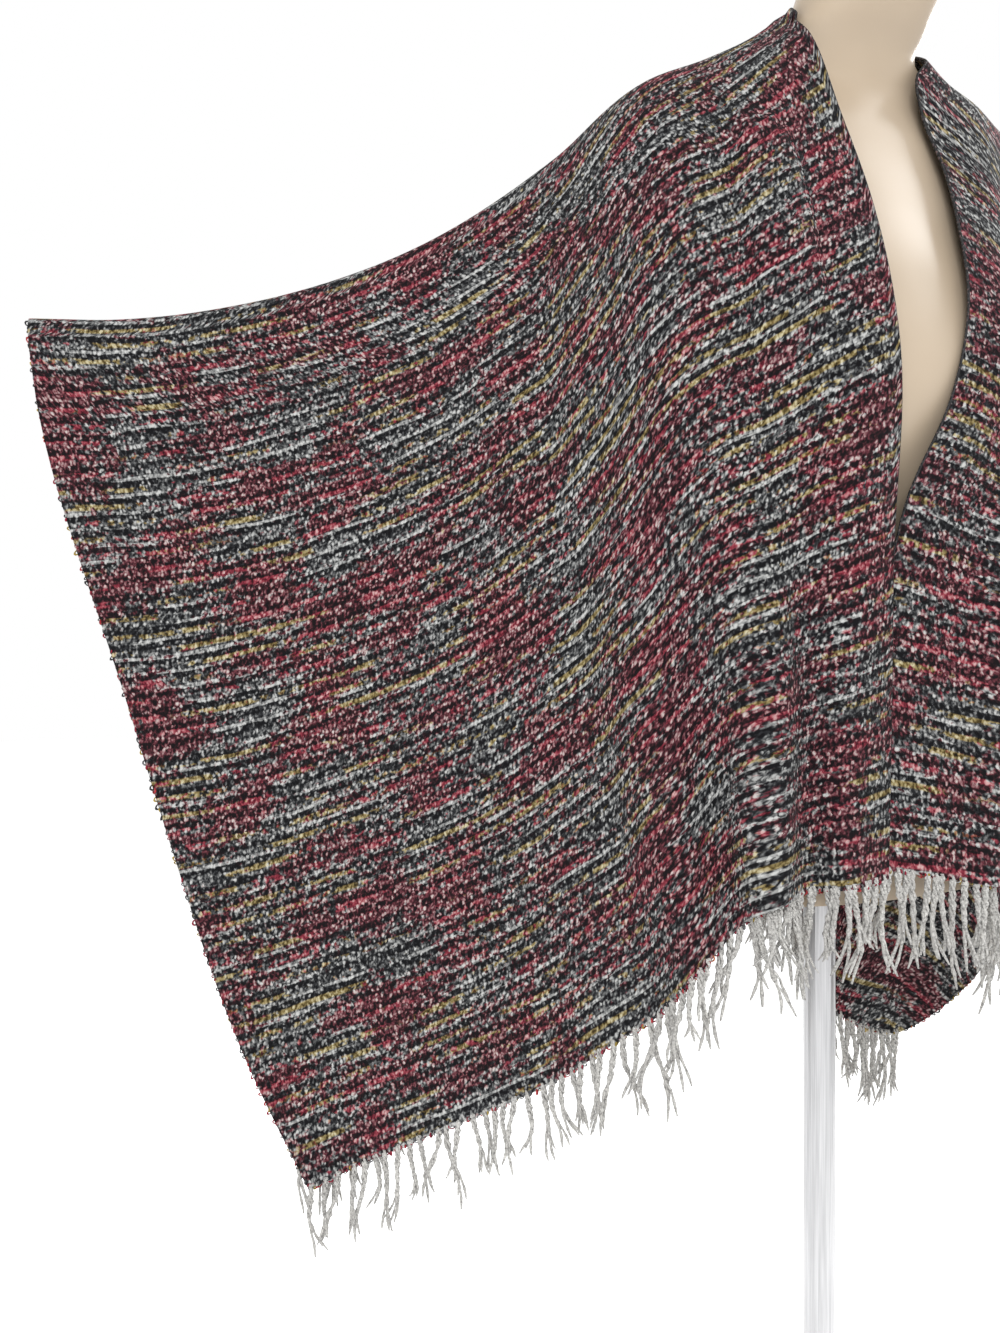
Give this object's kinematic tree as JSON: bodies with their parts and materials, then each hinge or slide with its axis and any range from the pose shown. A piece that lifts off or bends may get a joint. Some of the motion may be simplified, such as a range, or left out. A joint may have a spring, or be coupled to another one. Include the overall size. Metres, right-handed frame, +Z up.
{
  "type": "fringed ruana poncho on a dress form",
  "caption": "Open-front fringed ruana of nubby woven cloth, one side held out as a wing and the other falling in folds, worn by a limbless torso dress form on a round steel stand.",
  "frame": {"origin": "centre of the underside of the stand's round base", "axes": "+Z up; the form faces -Y; the held-out side of the cloth is towards -X and swings back towards +Y"},
  "size_m": [0.8761, 0.4951, 1.512],
  "materials": {
    "boucle": "nubby woven boucle in thin broken rows of black, grey, crimson and mustard",
    "fringe_yarn": "loose twisted grey-white yarn",
    "form_shell": "satin beige",
    "stand_steel": "brushed"
  },
  "bodies": {
    "root": {"front_held_out": "boucle", "front_falling": "boucle", "back": "boucle", "fringe_front_held_out": "fringe_yarn", "fringe_front_falling": "fringe_yarn", "fringe_back_held_out": "fringe_yarn", "fringe_back_falling": "fringe_yarn", "torso_form": "form_shell", "pole_collar": "stand_steel", "stand_pole": "stand_steel", "stand_base": "stand_steel"}
  },
  "joints": []
}
